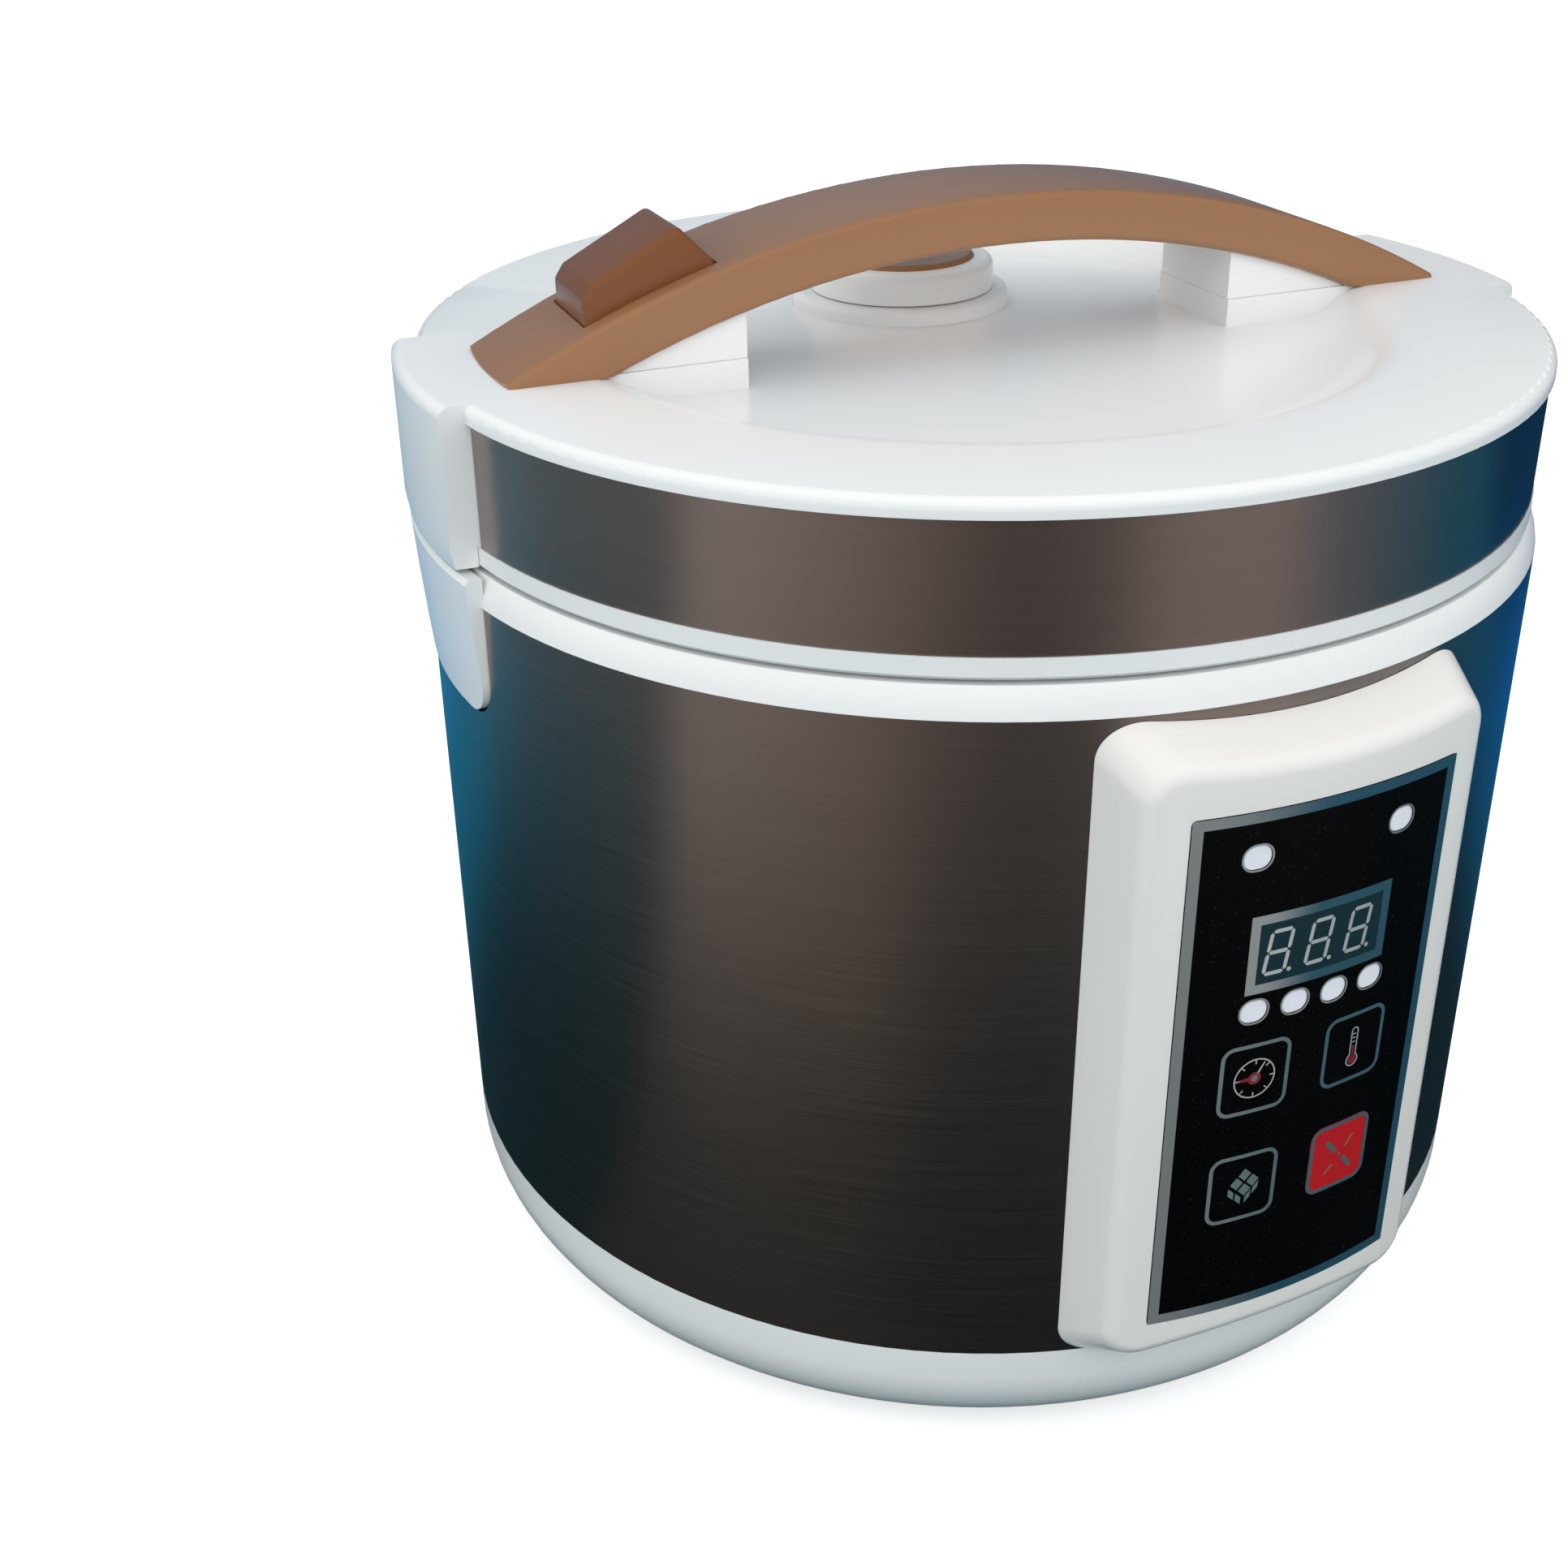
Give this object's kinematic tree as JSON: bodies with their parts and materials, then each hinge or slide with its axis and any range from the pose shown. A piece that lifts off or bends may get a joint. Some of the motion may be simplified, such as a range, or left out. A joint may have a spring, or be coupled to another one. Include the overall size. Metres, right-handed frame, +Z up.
{
  "type": "yogurt maker",
  "caption": "Round counter-top yogurt and fermentation pot: white and brushed steel drum body, hinged lid with arched tan handle, push-button latch, steam vent, curved front control panel.",
  "frame": {"origin": "on the surface the feet stand on, on the centre line of the pot; the panel and the power inlet stand out about equally at front and back", "axes": "+Z up along the pot's centre line, handle along X with the latch at -X and the hinge at +X, control panel towards -Y"},
  "size_m": [0.268, 0.2826, 0.2578],
  "materials": {
    "white_plastic": "glossy moulded plastic, cool white",
    "panel_white": "glossy moulded plastic, warm white",
    "brushed_stainless": "stainless sheet brushed round the body",
    "tan_plastic": "satin tan plastic",
    "button_tan": "satin tan plastic, a little darker",
    "hatch_plastic": "matt moulded plastic",
    "foot_rubber": "matt rubber",
    "seal_silicone": "translucent silicone",
    "pin_steel": "bright steel",
    "screw_steel": "plated steel",
    "liner_steel": "aluminised steel sheet",
    "belt_silicone": "silicone heating belt",
    "plate_aluminium": "turned aluminium",
    "element_steel": "sheathed element",
    "pot_coating": "dark non-stick coating on aluminium",
    "hook_plastic": "matt moulded plastic",
    "board_green": "circuit board",
    "inlet_black": "matt black plastic",
    "pin_brass": "bright brass",
    "cable_grey": "flat cable",
    "label_black": "glossy black film",
    "window_tint": "dark teal window",
    "light_white": "white diffusing lens",
    "key_red": "glossy red film"
  },
  "bodies": {
    "body": {"base_housing": "white_plastic", "bottom_cover": "hatch_plastic", "feet": "foot_rubber", "body_band": "brushed_stainless", "body_rim": "white_plastic", "latch_keeper": "pin_steel", "hinge_pin": "pin_steel", "inner_liner": "liner_steel", "heating_belt": "belt_silicone", "heating_plate": "plate_aluminium", "heating_element": "element_steel", "sensor_guide": "liner_steel", "sensor_spring": "pin_steel", "thermal_fuse": "element_steel", "power_board": "board_green", "inlet_housing": "white_plastic", "power_inlet": "inlet_black", "inlet_pins": "pin_brass", "panel_housing": "panel_white", "panel_label": "label_black", "display_window": "window_tint", "control_board": "board_green", "display_module": "inlet_black", "indicator_lights": "light_white", "key_switches": "inlet_black", "board_cable": "cable_grey", "base_screws": "screw_steel", "panel_screws": "screw_steel", "inlet_screws": "screw_steel"},
    "lid": {"lid_top": "white_plastic", "lid_band": "brushed_stainless", "lid_ring": "white_plastic", "lid_inner_cover": "plate_aluminium", "lid_seal": "seal_silicone", "handle_bar": "tan_plastic", "handle_post_latch": "white_plastic", "handle_post_hinge": "white_plastic", "latch_pin": "pin_steel", "latch_spring": "pin_steel", "button_spring": "pin_steel", "vent_seat": "white_plastic", "vent_gasket": "seal_silicone", "lid_screws": "screw_steel", "handle_screws": "screw_steel"},
    "button": {"release_button": "button_tan", "push_rod": "pin_steel"},
    "latch": {"latch_hook": "hook_plastic"},
    "steam_cap": {"vent_cap": "white_plastic", "vent_disc": "tan_plastic"},
    "pot": {"inner_pot": "pot_coating"},
    "sensor": {"temperature_sensor": "plate_aluminium"},
    "key_time_body": {"key_time": "label_black"},
    "key_temperature_body": {"key_temperature": "label_black"},
    "key_function_body": {"key_function": "label_black"},
    "key_enter_body": {"key_enter": "key_red"}
  },
  "joints": [
    {"name": "lid_hinge", "type": "hinge", "parent": "body", "child": "lid", "pos_m": [0.1285, 0, 0.186], "axis": [0, 1, 0], "range_deg": [0, 90]},
    {"name": "button_press", "type": "slide", "parent": "lid", "child": "button", "axis": [0, 0, -1], "range_m": [0, 0.004], "stiffness_N_per_m": 900, "springref_m": -0.003, "deforming": ["button_spring"]},
    {"name": "latch_release", "type": "hinge", "parent": "lid", "child": "latch", "pos_m": [-0.124, 0, 0.2095], "axis": [0, 1, 0], "range_deg": [0, 6.1], "deforming": ["latch_spring"]},
    {"name": "vent_cap_lift", "type": "slide", "parent": "lid", "child": "steam_cap", "axis": [0, 0, 1], "range_m": [0, 0.014]},
    {"name": "pot_lift", "type": "slide", "parent": "body", "child": "pot", "axis": [0, 0, 1], "range_m": [0, 0.004]},
    {"name": "sensor_rise", "type": "slide", "parent": "body", "child": "sensor", "axis": [0, 0, 1], "range_m": [0, 0.004], "deforming": ["sensor_spring"]},
    {"name": "key_time_press", "type": "slide", "parent": "body", "child": "key_time_body", "axis": [-0.0732, 0.9973, 0], "range_m": [0, 0.0004], "stiffness_N_per_m": 2500, "springref_m": -0.0003},
    {"name": "key_temperature_press", "type": "slide", "parent": "body", "child": "key_temperature_body", "axis": [-0.0732, 0.9973, 0], "range_m": [0, 0.0004], "stiffness_N_per_m": 2500, "springref_m": -0.0003},
    {"name": "key_function_press", "type": "slide", "parent": "body", "child": "key_function_body", "axis": [-0.0732, 0.9973, 0], "range_m": [0, 0.0004], "stiffness_N_per_m": 2500, "springref_m": -0.0003},
    {"name": "key_enter_press", "type": "slide", "parent": "body", "child": "key_enter_body", "axis": [-0.0732, 0.9973, 0], "range_m": [0, 0.0004], "stiffness_N_per_m": 2500, "springref_m": -0.0003}
  ],
  "couplings": [
    {"joint": "latch_release", "follows": "button_press", "rad_per_m": 26.316},
    {"joint": "sensor_rise", "follows": "pot_lift", "ratio": 1}
  ]
}
